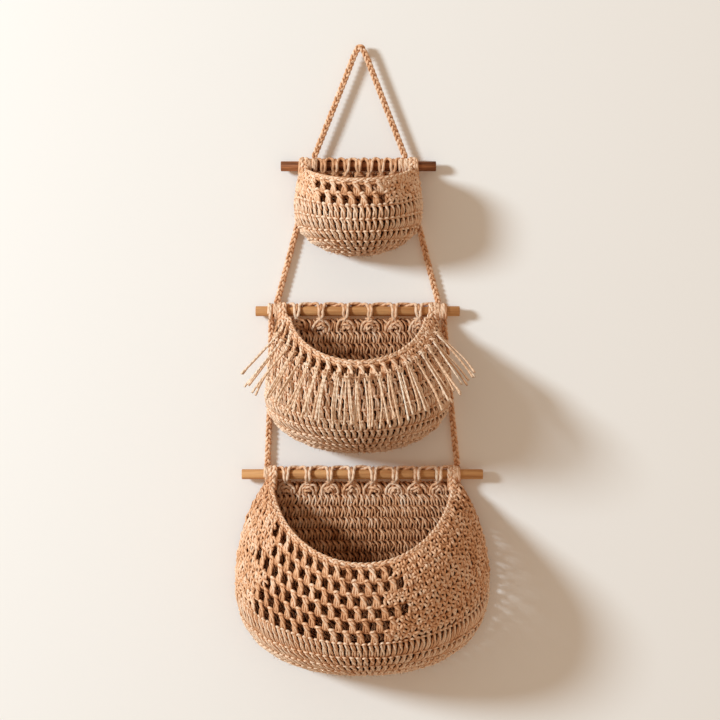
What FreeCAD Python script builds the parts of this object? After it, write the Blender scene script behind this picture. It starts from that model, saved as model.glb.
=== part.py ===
import FreeCAD, Part
import Sketcher
import math
import os

# Three-tier hanging fruit basket: crocheted jute pouches looped on wooden rods.
# Millimetres, +Z up, -Y towards the room, +Y towards the wall.
# The origin is the point where the hanging cord bears on its hook.

Vector = FreeCAD.Vector

DIMENSIONS = (
    # Rods and the yarn rings that hold them
    ("rod_diameter", 12.7),
    ("rod_chamfer", 0.6),
    ("loop_clearance", 0.3),
    ("loop_thickness", 3.7),
    ("loop_width", 6.0),
    ("wrap_width", 6.4),
    ("wrap_gap", 0.6),
    ("edge_gap", 0.5),
    ("wall_clearance", 0.15),
    # Hanging and side cords
    ("cord_diameter", 7.0),
    ("cord_gap", 0.4),
    ("hook_radius", 4.0),
    ("hanger_drop", 150.0),
    ("upper_spacing", 184.0),
    ("lower_spacing", 207.0),
    # Crocheted fabric and the edging round each mouth
    ("fabric_thickness", 6.0),
    ("rim_height", 7.0),
    ("rim_overhang", 1.5),
    # Top basket
    ("top_shift", -2.0),
    ("top_rod_length", 197.0),
    ("top_corner_half_width", 72.0),
    ("top_half_width", 81.0),
    ("top_widest_drop", 58.0),
    ("top_bottom_drop", 116.0),
    ("top_depth", 97.0),
    ("top_full_depth_drop", 14.0),
    ("top_mouth_half_width", 66.0),
    ("top_mouth_drop", 22.0),
    ("top_loop_count", 7),
    # Middle basket
    ("middle_shift", -3.0),
    ("middle_rod_length", 259.0),
    ("middle_corner_half_width", 99.0),
    ("middle_half_width", 117.0),
    ("middle_widest_drop", 108.0),
    ("middle_bottom_drop", 178.0),
    ("middle_depth", 132.0),
    ("middle_full_depth_drop", 86.0),
    ("middle_mouth_half_width", 84.0),
    ("middle_mouth_drop", 62.0),
    ("middle_loop_count", 6),
    # Bottom basket
    ("bottom_shift", 3.0),
    ("bottom_rod_length", 306.0),
    ("bottom_corner_half_width", 117.0),
    ("bottom_half_width", 161.0),
    ("bottom_widest_drop", 129.0),
    ("bottom_bottom_drop", 251.0),
    ("bottom_depth", 172.0),
    ("bottom_full_depth_drop", 125.0),
    ("bottom_mouth_half_width", 113.0),
    ("bottom_mouth_drop", 98.0),
    ("bottom_loop_count", 8),
    # Fringe on the middle basket
    ("tassel_count", 21),
    ("tassel_length", 62.0),
    ("tassel_knot_radius", 4.6),
    ("tassel_root_radius", 2.4),
    ("tassel_tip_radius", 4.0),
    ("tassel_ridge_gap", 10.0),
    ("tassel_end_angle", 22.0),
    ("tassel_front_splay", 16.0),
    ("tassel_side_splay", 50.0),
)

# Shape constants of the pouches: fullness of each bottom, levels from top to bottom and facets round them
BOTTOM_FULLNESS = {"top": 1.8, "middle": 1.65, "bottom": 2.4}
BOTTOM_END_ANGLE = math.radians(78)
UPPER_SECTIONS = 5
LOWER_SECTIONS = 6
POUCH_FACETS = 20

# Facets of half a mouth, of a yarn ring and of a tassel
MOUTH_FACETS = 24
RING_FACETS = 16
TASSEL_FACETS = 6

# How far a cutting tool reaches past what it cuts, and the step that finds a point or a slope
CUT_MARGIN = 5.0
FINE_STEP = 0.01

SIDES = (("left", -1), ("right", 1))
TIERS = ("top", "middle", "bottom")

doc = FreeCAD.newDocument("hanging_fruit_basket")
sheet = doc.addObject("Spreadsheet::Sheet", "Sheet")
for row, (alias, amount) in enumerate(DIMENSIONS, start=1):
    sheet.set(f"A{row}", alias)
    sheet.set(f"B{row}", str(amount))
    sheet.setAlias(f"B{row}", alias)
doc.recompute()

# Expressions that several sub-parts share
BORE_RADIUS = "(Sheet.rod_diameter / 2 + Sheet.loop_clearance)"
RING_RADIUS = f"({BORE_RADIUS} + Sheet.loop_thickness)"
EDGE_DROP = f"({RING_RADIUS} + Sheet.edge_gap)"
CORD_RADIUS = "(Sheet.cord_diameter / 2)"
CORD_Y = f"(Sheet.fabric_thickness / 2 + Sheet.cord_gap + {CORD_RADIUS})"
ROD_Z = {
    "top": "(-Sheet.hanger_drop)",
    "middle": "(-Sheet.hanger_drop - Sheet.upper_spacing)",
    "bottom": "(-Sheet.hanger_drop - Sheet.upper_spacing - Sheet.lower_spacing)",
}
# The two upper panels hang under their rods, with the side cords behind them.
# The lowest panel has no cord behind it and lies against the wall.
PANEL_BACK = {
    "top": "(Sheet.fabric_thickness / 2)",
    "middle": "(Sheet.fabric_thickness / 2)",
    "bottom": f"({RING_RADIUS} + Sheet.wall_clearance)",
}
# Place of the innermost wrap on each rod, counted outwards from the basket's corner
INNERMOST_WRAP = {"top": -2, "middle": 0, "bottom": 0}

nodes = {}


def keep(name, obj):
    """Give a finished sub-part its label and list it for export."""
    obj.Label = name
    nodes[name] = obj
    return obj


def make_rod(tier):
    """A round wooden rod along X with eased ends."""
    body = doc.addObject("PartDesign::Body", f"{tier}_rod")
    plane = [f for f in body.Origin.OriginFeatures if f.Role == "YZ_Plane"][0]
    sketch = body.newObject("Sketcher::SketchObject", f"{tier}_rod_section")
    sketch.AttachmentSupport = [(plane, "")]
    sketch.MapMode = "FlatFace"
    circle = sketch.addGeometry(Part.Circle(Vector(0, 0, 0), Vector(0, 0, 1), 1))
    sketch.addConstraint(Sketcher.Constraint("Coincident", circle, 3, -1, 1))
    radius = sketch.addConstraint(Sketcher.Constraint("Radius", circle, 1))
    sketch.setExpression(f"Constraints[{radius}]", "Sheet.rod_diameter / 2")
    pad = body.newObject("PartDesign::Pad", f"{tier}_rod_length")
    pad.Profile = sketch
    pad.SideType = "Symmetric"
    pad.setExpression("Length", f"Sheet.{tier}_rod_length")
    doc.recompute()
    ends = [f"Edge{i}" for i, e in enumerate(pad.Shape.Edges, 1) if isinstance(e.Curve, Part.Circle)]
    chamfer = body.newObject("PartDesign::Chamfer", f"{tier}_rod_ends")
    chamfer.Base = (pad, ends)
    chamfer.setExpression("Size", "Sheet.rod_chamfer")
    body.setExpression("Placement.Base.x", f"Sheet.{tier}_shift")
    body.setExpression("Placement.Base.z", ROD_Z[tier])
    return keep(f"{tier}_rod", body)


rods = {tier: make_rod(tier) for tier in TIERS}
doc.recompute()


def number(expression):
    """The value of an expression on the sheet."""
    return float(rods["top"].evalExpression(expression))


def wrap_x(tier, side, place):
    """Centre of a wrap: place 0 is the basket's corner, 1 is next outwards, -1 next inwards."""
    reach = f"Sheet.{tier}_corner_half_width + ({place} - 0.5) * Sheet.wrap_width"
    return f"(Sheet.{tier}_shift + ({side}) * ({reach} + ({place}) * Sheet.wrap_gap))"


def x_prism(name, radius, length, centre_x, z):
    """A many-sided bar along X, centred at centre_x, with its corners on the radius."""
    turn = FreeCAD.Rotation(Vector(0, 1, 0), 90)
    prism = doc.addObject("Part::Prism", name)
    prism.Polygon = RING_FACETS
    prism.Placement = FreeCAD.Placement(Vector(0, 0, 0), turn)
    prism.setExpression("Circumradius", radius)
    prism.setExpression("Height", length)
    prism.setExpression("Placement.Base.x", f"{centre_x} - ({length}) / 2")
    prism.setExpression("Placement.Base.z", z)
    return prism


def make_ring(name, tier, centre_x, width, tail_front, tail_back, tail_up):
    """A yarn ring round a rod, with a flat tail above or below it that its neighbour seats on."""
    outer = x_prism(f"{name}_outside", RING_RADIUS, width, centre_x, ROD_Z[tier])
    tail = doc.addObject("Part::Box", f"{name}_tail")
    tail.setExpression("Length", width)
    tail.setExpression("Width", f"{tail_back} - ({tail_front})")
    tail.setExpression("Height", EDGE_DROP)
    tail.setExpression("Placement.Base.x", f"{centre_x} - ({width}) / 2")
    tail.setExpression("Placement.Base.y", tail_front)
    tail.setExpression("Placement.Base.z", ROD_Z[tier] if tail_up else f"{ROD_Z[tier]} - {EDGE_DROP}")
    blank = doc.addObject("Part::Fuse", f"{name}_blank")
    blank.Base = outer
    blank.Tool = tail
    bore_corner = f"{BORE_RADIUS} / cos(180 deg / {RING_FACETS})"
    bore = x_prism(f"{name}_bore", bore_corner, f"{width} + {CUT_MARGIN}", centre_x, ROD_Z[tier])
    ring = doc.addObject("Part::Cut", f"{name}_ring")
    ring.Base = blank
    ring.Tool = bore
    return ring


def make_rod_loops(tier):
    """The loops along the back panel's top edge that the rod passes through."""
    place = INNERMOST_WRAP[tier]
    inner = f"(Sheet.{tier}_corner_half_width + ({place} - 1) * Sheet.wrap_width + ({place}) * Sheet.wrap_gap)"
    count = int(number(f"Sheet.{tier}_loop_count"))
    loops = []
    for index in range(count):
        offset = index - (count - 1) / 2
        centre_x = f"(Sheet.{tier}_shift + ({offset}) * 2 * {inner} / {count})"
        front = f"({PANEL_BACK[tier]} - Sheet.fabric_thickness)"
        name = f"{tier}_loop_{index + 1}"
        loops.append(make_ring(name, tier, centre_x, "Sheet.loop_width", front, PANEL_BACK[tier], False))
    group = doc.addObject("Part::Compound", f"{tier}_loops")
    group.Links = loops
    return keep(f"{tier}_rod_loops", group)


def make_corner_wraps(tier):
    """The two corners of the mouth, wound over the rod."""
    front = f"(-{BORE_RADIUS} - Sheet.loop_thickness / 2)"
    for word, side in SIDES:
        name = f"{tier}_corner_{word}"
        ring = make_ring(name, tier, wrap_x(tier, side, 0), "Sheet.wrap_width", front, PANEL_BACK[tier], False)
        keep(name, ring)


def make_cord_wrap(name, tier, side, place, tail_up, centre_y):
    """A side or hanging cord's end wound round a rod."""
    front = f"({centre_y} - {CORD_RADIUS})"
    back = f"({centre_y} + {CORD_RADIUS})"
    ring = make_ring(name, tier, wrap_x(tier, side, place), "Sheet.wrap_width", front, back, tail_up)
    return keep(name, ring)


def pouch_sizes(tier):
    """The sizes of one basket as plain numbers, in its own frame with the rod axis at the origin."""
    words = ("corner_half_width", "half_width", "widest_drop", "bottom_drop", "depth",
             "full_depth_drop", "mouth_half_width", "mouth_drop")
    sizes = {word: number(f"Sheet.{tier}_{word}") for word in words}
    sizes["fullness"] = BOTTOM_FULLNESS[tier]
    sizes["edge"] = number(EDGE_DROP)
    sizes["fabric"] = number("Sheet.fabric_thickness")
    sizes["back"] = number(PANEL_BACK[tier])
    sizes["front"] = sizes["back"] - sizes["fabric"]
    flare = sizes["half_width"] - sizes["corner_half_width"]
    sizes["side_radius"] = (flare ** 2 + sizes["widest_drop"] ** 2) / (2 * flare)
    return sizes


def upper_half_width(sizes, drop):
    """Half width above the widest level: one arc from the corner to the widest point."""
    rise = sizes["widest_drop"] - drop
    radius = sizes["side_radius"]
    return sizes["half_width"] - radius + math.sqrt(radius ** 2 - rise ** 2)


def upper_depth(sizes, drop):
    """Depth above the widest level: the front leans out from the rod and turns upright."""
    share = min(1.0, drop / sizes["full_depth_drop"])
    return sizes["depth"] * math.sin(math.pi / 2 * share)


def pouch_levels(sizes):
    """Drop, half width and depth of each level from the top edge to the bottom."""
    levels = []
    for index in range(UPPER_SECTIONS):
        share = index / UPPER_SECTIONS
        drop = sizes["edge"] + (sizes["widest_drop"] - sizes["edge"]) * share
        levels.append((drop, upper_half_width(sizes, drop), upper_depth(sizes, drop)))
    power = 2 / sizes["fullness"]
    full = math.sin(BOTTOM_END_ANGLE) ** power
    for index in range(LOWER_SECTIONS + 1):
        angle = BOTTOM_END_ANGLE * index / LOWER_SECTIONS
        fall = (sizes["bottom_drop"] - sizes["widest_drop"]) * math.sin(angle) ** power / full
        narrow = math.cos(angle) ** power
        levels.append((sizes["widest_drop"] + fall, sizes["half_width"] * narrow, sizes["depth"] * narrow))
    return levels


def polygon_face(corners):
    """A flat face with straight edges."""
    return Part.Face(Part.makePolygon(corners + corners[:1]))


def faceted_solid(rings):
    """A closed solid through rings of corners, with flat facets between one ring and the next."""
    faces = [polygon_face(rings[0]), polygon_face(rings[-1])]
    for ring, next_ring in zip(rings, rings[1:]):
        for index, corner in enumerate(ring):
            after = (index + 1) % len(ring)
            faces.append(polygon_face([corner, ring[after], next_ring[after]]))
            faces.append(polygon_face([corner, next_ring[after], next_ring[index]]))
    solid = Part.Solid(Part.Shell(faces))
    return solid.removeSplitter()


def pouch_section(sizes, half_width, depth, z):
    """The corners of a section seen from above: half an ellipse in front, straight sides behind."""
    corners = []
    for index in range(POUCH_FACETS + 1):
        angle = math.pi * index / POUCH_FACETS
        corners.append(Vector(half_width * math.cos(angle), sizes["front"] - depth * math.sin(angle), z))
    back = sizes["back"] + CUT_MARGIN
    corners.append(Vector(-half_width, back, z))
    corners.append(Vector(half_width, back, z))
    return corners


def pouch_solid(sizes, inset):
    """The bag's filled form, drawn in by inset all round."""
    lowest = sizes["bottom_drop"]
    rings = []
    for drop, half_width, depth in pouch_levels(sizes):
        raised = inset * max(0.0, (drop - sizes["widest_drop"]) / (lowest - sizes["widest_drop"]))
        rings.append(pouch_section(sizes, half_width - inset, depth - inset, raised - drop))
    return faceted_solid(rings)


def slab(sizes, y_low, y_high):
    """A block across the whole basket between two planes parallel to the wall."""
    reach = sizes["half_width"] + CUT_MARGIN
    tall = sizes["bottom_drop"] + CUT_MARGIN
    return Part.makeBox(2 * reach, y_high - y_low, tall, Vector(-reach, y_low, -tall))


def mouth_prism(sizes, grow):
    """The mouth's outline seen from the front, carried through the pouch as far as the back panel."""
    ahead = sizes["depth"] + 2 * CUT_MARGIN
    corners = []
    for index in range(2 * MOUTH_FACETS):
        angle = math.pi * index / MOUTH_FACETS
        across = (sizes["mouth_half_width"] + grow) * math.cos(angle)
        up = (sizes["mouth_drop"] + grow) * math.sin(angle)
        corners.append(Vector(across, sizes["front"] - ahead, up))
    return polygon_face(corners).extrude(Vector(0, ahead, 0))


def add_shape(name, tier, shape):
    """A sub-part with a free form, placed at its rod."""
    feature = doc.addObject("Part::Feature", name)
    feature.Shape = shape
    feature.Placement = FreeCAD.Placement(
        Vector(number(f"Sheet.{tier}_shift"), 0, number(ROD_Z[tier])), FreeCAD.Rotation())
    return keep(name, feature)


def make_basket(tier):
    """Pouch, back panel and mouth edging of one basket."""
    sizes = pouch_sizes(tier)
    fabric = sizes["fabric"]
    rim = number("Sheet.rim_height")
    overhang = number("Sheet.rim_overhang")
    outer = pouch_solid(sizes, 0)
    ahead = slab(sizes, sizes["front"] - sizes["depth"] - CUT_MARGIN, sizes["front"])
    wall = outer.cut(pouch_solid(sizes, fabric)).common(ahead)
    add_shape(f"{tier}_pouch", tier, wall.cut(mouth_prism(sizes, rim)))
    add_shape(f"{tier}_back_panel", tier, outer.common(slab(sizes, sizes["front"], sizes["back"])))
    thick_wall = pouch_solid(sizes, -overhang).cut(pouch_solid(sizes, fabric + overhang)).common(ahead)
    edging = thick_wall.common(mouth_prism(sizes, rim)).cut(mouth_prism(sizes, 0))
    add_shape(f"{tier}_rim", tier, edging)


def level_at(sizes, drop):
    """Half width and depth of the pouch at a drop, between two levels."""
    levels = pouch_levels(sizes)
    for (high, wide, deep), (low, next_wide, next_deep) in zip(levels, levels[1:]):
        if drop <= low:
            share = (drop - high) / (low - high)
            return wide + (next_wide - wide) * share, deep + (next_deep - deep) * share
    return levels[-1][1:]


def surface_point(sizes, angle, drop):
    """A point on the pouch's outside, at an angle round it and a drop below the rod."""
    half_width, depth = level_at(sizes, drop)
    return Vector(half_width * math.cos(angle), sizes["front"] - depth * math.sin(angle), -drop)


def surface_normal(sizes, angle, drop):
    """The outward direction square to the pouch."""
    here = surface_point(sizes, angle, drop)
    around = surface_point(sizes, angle + FINE_STEP, drop) - here
    down = surface_point(sizes, angle, drop + FINE_STEP) - here
    return around.cross(down).normalize()


def tassel_section(centre, along, radius):
    """A six-sided section square to the strands."""
    across = along.cross(Vector(1, 0, 0) if abs(along.x) < abs(along.y) else Vector(0, 1, 0)).normalize()
    corners = []
    for index in range(TASSEL_FACETS):
        turn = FreeCAD.Rotation(along, 360 * index / TASSEL_FACETS)
        corners.append(centre + turn.multVec(across) * radius)
    return corners


def tassel_solid(knot, hang):
    """A knot with its bundle of strands, which widens towards the cut ends."""
    knot_radius = number("Sheet.tassel_knot_radius")
    root = number("Sheet.tassel_root_radius")
    half_knot = knot_radius / 2
    sections = (
        (-knot_radius, half_knot),
        (-half_knot, knot_radius),
        (half_knot, knot_radius),
        (2 * knot_radius, root),
        (number("Sheet.tassel_length"), number("Sheet.tassel_tip_radius")),
    )
    return faceted_solid([tassel_section(knot + hang * reach, hang, radius) for reach, radius in sections])


def make_fringe(sizes):
    """Tassels knotted along the ridge below the middle basket's mouth."""
    count = int(number("Sheet.tassel_count"))
    end_angle = math.radians(number("Sheet.tassel_end_angle"))
    front_splay = number("Sheet.tassel_front_splay")
    side_splay = number("Sheet.tassel_side_splay")
    ridge = number("Sheet.rim_height") + number("Sheet.tassel_ridge_gap")
    for index in range(count):
        turn = end_angle + (math.pi - 2 * end_angle) * index / (count - 1)
        drop = (sizes["mouth_drop"] + ridge) * math.sin(turn)
        across = (sizes["mouth_half_width"] + ridge) * math.cos(turn)
        angle = math.acos(across / level_at(sizes, drop)[0])
        normal = surface_normal(sizes, angle, drop)
        knot = surface_point(sizes, angle, drop) + normal * number("Sheet.tassel_knot_radius")
        outward = Vector(normal.x, normal.y, 0).normalize()
        splay = math.radians(front_splay + (side_splay - front_splay) * abs(math.cos(turn)))
        hang = outward * math.sin(splay) + Vector(0, 0, -math.cos(splay))
        add_shape(f"tassel_{index + 1:02d}", "middle", tassel_solid(knot, hang))


def tangent_point(foot, centre, radius, side):
    """Where a straight run from foot meets a circle in the XZ plane, on the circle's outer side."""
    to_foot = foot - centre
    heading = math.atan2(to_foot.z, to_foot.x)
    spread = math.acos(radius / to_foot.Length)
    angle = heading + side * spread
    return centre + Vector(math.cos(angle), 0, math.sin(angle)) * radius


def check_tube(name, tube, length):
    """Compare a cord's volume with its section times its length."""
    expected = math.pi * number(CORD_RADIUS) ** 2 * length
    print(f"{name}: length {length:.1f} mm, volume {tube.Volume:.0f}, section times length {expected:.0f}")


def make_hanging_cord():
    """One cord from rod to rod end, bent over the hook at the origin."""
    bend = number("Sheet.hook_radius") + number(CORD_RADIUS)
    centre = Vector(0, 0, -number("Sheet.hook_radius"))
    foot_z = number(ROD_Z["top"]) + number(EDGE_DROP)
    feet = [Vector(number(wrap_x("top", side, -2)), 0, foot_z) for word, side in SIDES]
    joins = [tangent_point(foot, centre, bend, side) for foot, (word, side) in zip(feet, SIDES)]
    run_out = [foot + (foot - join).normalize() * CUT_MARGIN for foot, join in zip(feet, joins)]
    crown = centre + Vector(0, 0, bend)
    path = Part.Wire([
        Part.LineSegment(run_out[0], joins[0]).toShape(),
        Part.Arc(joins[0], crown, joins[1]).toShape(),
        Part.LineSegment(joins[1], run_out[1]).toShape(),
    ])
    section = Part.Wire([Part.makeCircle(number(CORD_RADIUS), run_out[0], joins[0] - run_out[0])])
    tube = path.makePipe(Part.Face(section))
    print(f"hanging_cord: bend radius {bend:.1f} mm")
    check_tube("hanging_cord", tube, path.Length)
    reach = number("Sheet.hanger_drop")
    above = Part.makeBox(2 * reach, 2 * reach, 2 * reach, Vector(-reach, -reach, foot_z))
    feature = doc.addObject("Part::Feature", "hanging_cord")
    feature.Shape = tube.common(above)
    keep("hanging_cord", feature)


def make_side_cord(name, side, upper_tier, upper_place, lower_tier, lower_place):
    """A straight, taut cord between two rods, behind the basket on the upper one."""
    y = number(CORD_Y)
    high = number(ROD_Z[upper_tier]) - number(EDGE_DROP)
    low = number(ROD_Z[lower_tier]) + number(EDGE_DROP)
    top = Vector(number(wrap_x(upper_tier, side, upper_place)), y, high)
    foot = Vector(number(wrap_x(lower_tier, side, lower_place)), y, low)
    down = (foot - top).normalize()
    length = (foot - top).Length
    tube = Part.makeCylinder(number(CORD_RADIUS), length + 2 * CUT_MARGIN, top - down * CUT_MARGIN, down)
    check_tube(name, tube, length + 2 * CUT_MARGIN)
    reach = abs(foot.x) + abs(top.x) + CUT_MARGIN
    between = Part.makeBox(2 * reach, 2 * reach, high - low, Vector(-reach, -reach, low))
    feature = doc.addObject("Part::Feature", name)
    feature.Shape = tube.common(between)
    keep(name, feature)


for tier in TIERS:
    make_rod_loops(tier)
    make_corner_wraps(tier)
doc.recompute()

make_hanging_cord()
for word, side in SIDES:
    make_cord_wrap(f"hanger_wrap_{word}", "top", side, -2, True, "0")
    make_cord_wrap(f"upper_cord_{word}_top_wrap", "top", side, -1, False, CORD_Y)
    make_side_cord(f"upper_cord_{word}", side, "top", -1, "middle", 1)
    make_cord_wrap(f"upper_cord_{word}_foot_wrap", "middle", side, 1, True, CORD_Y)
    make_cord_wrap(f"lower_cord_{word}_top_wrap", "middle", side, 2, False, CORD_Y)
    make_side_cord(f"lower_cord_{word}", side, "middle", 2, "bottom", 1)
    make_cord_wrap(f"lower_cord_{word}_foot_wrap", "bottom", side, 1, True, CORD_Y)

for tier in TIERS:
    make_basket(tier)
make_fringe(pouch_sizes("middle"))
doc.recompute()

for obj in doc.Objects:
    if {"Invalid", "Error"} & set(obj.State):
        raise RuntimeError(f"{obj.Name} failed: {obj.State}")
os.makedirs("parts", exist_ok=True)
for name, obj in nodes.items():
    if obj.Shape.isNull() or not obj.Shape.isValid():
        raise RuntimeError(f"{name} has no valid shape")
    obj.Shape.exportStep(f"parts/{name}.step")
print(f"{len(nodes)} sub-parts written")
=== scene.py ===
import math

import bpy
import numpy as np
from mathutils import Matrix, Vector


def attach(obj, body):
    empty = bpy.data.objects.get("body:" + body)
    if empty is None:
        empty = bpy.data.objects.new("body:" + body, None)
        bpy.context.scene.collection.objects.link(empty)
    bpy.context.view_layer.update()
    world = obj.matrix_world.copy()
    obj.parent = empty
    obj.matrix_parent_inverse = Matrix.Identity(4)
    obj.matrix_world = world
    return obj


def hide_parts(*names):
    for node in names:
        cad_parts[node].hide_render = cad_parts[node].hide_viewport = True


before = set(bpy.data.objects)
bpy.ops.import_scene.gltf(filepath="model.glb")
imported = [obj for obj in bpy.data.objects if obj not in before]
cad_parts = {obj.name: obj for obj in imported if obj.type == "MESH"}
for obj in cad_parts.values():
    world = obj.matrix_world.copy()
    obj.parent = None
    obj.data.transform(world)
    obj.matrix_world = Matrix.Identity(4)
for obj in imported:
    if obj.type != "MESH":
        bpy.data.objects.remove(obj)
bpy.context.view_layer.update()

# Sizes in millimetres, as in the part's source
MM = 0.001
ROD_RADIUS = 6.35
ROD_CHAMFER = 0.6
EDGE_DROP = 10.85
WRAP_WIDTH = 6.4
WRAP_STEP = 7.0
FABRIC = 6.0
MID_FABRIC = FABRIC / 2
RIM_HEIGHT = 7.0
CORD_Y = 6.9
BOTTOM_END_ANGLE = math.radians(78)

TIERS = {
    "top": dict(
        shift=-2, rod_z=-150, rod=197, corner=72, half_width=81, widest=58, bottom=116, depth=97,
        full_depth=14, fullness=1.8, mouth_width=66, mouth_drop=22, back=3.0, loops=7, innermost=-2,
    ),
    "middle": dict(
        shift=-3, rod_z=-334, rod=259, corner=99, half_width=117, widest=108, bottom=178, depth=132,
        full_depth=86, fullness=1.65, mouth_width=84, mouth_drop=62, back=3.0, loops=6, innermost=0,
    ),
    "bottom": dict(
        shift=3, rod_z=-541, rod=306, corner=117, half_width=161, widest=129, bottom=251, depth=172,
        full_depth=125, fullness=2.4, mouth_width=113, mouth_drop=98, back=10.5, loops=8, innermost=0,
    ),
}
SIDES = (("left", -1), ("right", 1))

# Room for the stitches under each bottom, and how much rounder than the source's the bottom is drawn
STITCH_ROOM = {"top": 2.5, "middle": 0.0, "bottom": 2.0}
ROUNDER = {"top": 0.3, "middle": 0.45, "bottom": 0.1}

# Points down the walls above the widest level and as many below it, steps from there in towards the
# bottom's centre, and the share of the way that they leave open round it
WALL_POINTS = 60
CENTRE_STEPS = 13
CENTRE_SHARE = 0.1

# Points that measure a row, and the steps of angle and of length that find a direction
ROW_POINTS = 80
ANGLE_STEP = 0.01
ARC_STEP = 0.5

# Yarn radius in the panel, in close rows, in the open mesh, in the dense stitches beside it and behind them,
# and that of a stray fibre with its length
YARN = 1.5
CLOSE_YARN = 1.48
MESH_YARN = 1.75
DENSE_YARN = 1.85
CORE_YARN = 2.3
FIBRE = 0.16
FIBRE_LENGTH = (3.0, 7.0)

# Corners round a strand: of a cord, of most yarn, where it shows less, of a stray fibre. Steps between two of
# its points.
CORD_SIDES = 8
STRAND_SIDES = 6
COARSE_SIDES = 5
FIBRE_SIDES = 3
STRAND_STEPS = 2

# Tone of the yarn at the fabric's middle: in the panel, in close rows, in the open mesh, in dense stitches
MIDDLE_TONE = 0.30
CLOSE_TONE = {"top": 0.32, "middle": 0.33, "bottom": 0.30}
MESH_TONE = {"top": 0.23, "middle": 0.23, "bottom": 0.165}
DENSE_TONE = {"top": 0.25, "middle": 0.25, "bottom": 0.20}

# Tone of the yarn behind the rows, dark as painted shade, of a strand that is given none, the rise for each
# millimetre outwards, which paints shade deep in the fabric and light on what stands out, and how far one
# stitch's tone strays from the next one's
CORE_PAINTED_SHADE_TONE = 0.12
FACE_TONE = 0.52
PAINTED_SHADE_RISE = 0.105
TONE_SPREAD = 0.05

chance = np.random.default_rng(20)


# Materials

# Length of a ply's turn in metres, plies round a strand, streaks along it and across its turns,
# and how much patches and grain change the tone
PLY_TURN = 0.007
PLIES = 2
STREAKS_ALONG = 160.0
STREAKS_ACROSS = 0.9
PATCH_SHARE = 0.25
GRAIN_SHARE = 0.3


def new_material(name):
    """A material with one plain shader, and its node tree."""
    material = bpy.data.materials.new(name)
    material.use_nodes = True
    tree = material.node_tree
    tree.nodes.clear()
    output = tree.nodes.new("ShaderNodeOutputMaterial")
    shader = tree.nodes.new("ShaderNodeBsdfPrincipled")
    tree.links.new(shader.outputs[0], output.inputs[0])
    return material, tree, shader


def add_node(tree, kind, **values):
    """A node with some of its settings or inputs given by name."""
    node = tree.nodes.new(kind)
    for name, value in values.items():
        if hasattr(node, name):
            setattr(node, name, value)
        else:
            node.inputs[name].default_value = value
    return node


def ramp(tree, source, stops):
    """A colour ramp with stops of (place, colour)."""
    node = tree.nodes.new("ShaderNodeValToRGB")
    while len(node.color_ramp.elements) < len(stops):
        node.color_ramp.elements.new(0.5)
    for element, (place, colour) in zip(node.color_ramp.elements, stops):
        element.position = place
        element.color = (*colour, 1)
    tree.links.new(source, node.inputs[0])
    return node.outputs[0]


def maths(tree, operation, first, second):
    """One sum on two numbers or sockets."""
    node = tree.nodes.new("ShaderNodeMath")
    node.operation = operation
    for socket, value in zip(node.inputs, (first, second)):
        if isinstance(value, (int, float)):
            socket.default_value = value
        else:
            tree.links.new(value, socket)
    return node.outputs[0]


def jute_material(name, painted_shade_core, dark, middle, light):
    """Twisted plant fibre: colour drifts along each strand, its tone also carries painted shade, and fine
    slanting plies show in the bump.
    """
    material, tree, shader = new_material(name)
    tone = add_node(tree, "ShaderNodeAttribute", attribute_name="tone")
    place = tree.nodes.new("ShaderNodeTexCoord")
    patch = add_node(tree, "ShaderNodeTexNoise", Scale=60.0, Detail=3.0)
    tree.links.new(place.outputs["Object"], patch.inputs["Vector"])
    split = tree.nodes.new("ShaderNodeSeparateXYZ")
    tree.links.new(place.outputs["UV"], split.inputs[0])
    along = maths(tree, "MULTIPLY", split.outputs[0], 2 * math.pi / PLY_TURN)
    around = maths(tree, "MULTIPLY", split.outputs[1], 2 * math.pi * PLIES)
    twist = maths(tree, "ADD", along, around)
    plies = maths(tree, "SINE", twist, 0)
    streak = tree.nodes.new("ShaderNodeCombineXYZ")
    tree.links.new(maths(tree, "MULTIPLY", split.outputs[0], STREAKS_ALONG), streak.inputs[0])
    tree.links.new(maths(tree, "MULTIPLY", twist, STREAKS_ACROSS), streak.inputs[1])
    tree.links.new(patch.outputs["Fac"], streak.inputs[2])
    grain = add_node(tree, "ShaderNodeTexNoise", Scale=1.6, Detail=2.0)
    tree.links.new(streak.outputs[0], grain.inputs["Vector"])
    patches = maths(tree, "MULTIPLY", maths(tree, "SUBTRACT", patch.outputs["Fac"], 0.5), PATCH_SHARE)
    grains = maths(tree, "MULTIPLY", maths(tree, "SUBTRACT", grain.outputs["Fac"], 0.5), GRAIN_SHARE)
    mixed = maths(tree, "ADD", tone.outputs["Fac"], maths(tree, "ADD", patches, grains))
    colour = ramp(tree, mixed, ((0.04, painted_shade_core), (0.28, dark), (0.5, middle), (0.74, light)))
    tree.links.new(colour, shader.inputs["Base Color"])
    height = maths(tree, "ADD", maths(tree, "MULTIPLY", plies, 0.5), grain.outputs["Fac"])
    bump = add_node(tree, "ShaderNodeBump", Strength=1.0, Distance=0.0007)
    tree.links.new(height, bump.inputs["Height"])
    tree.links.new(bump.outputs[0], shader.inputs["Normal"])
    shader.inputs["Roughness"].default_value = 0.9
    shader.inputs["Specular IOR Level"].default_value = 0.15
    return material


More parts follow.
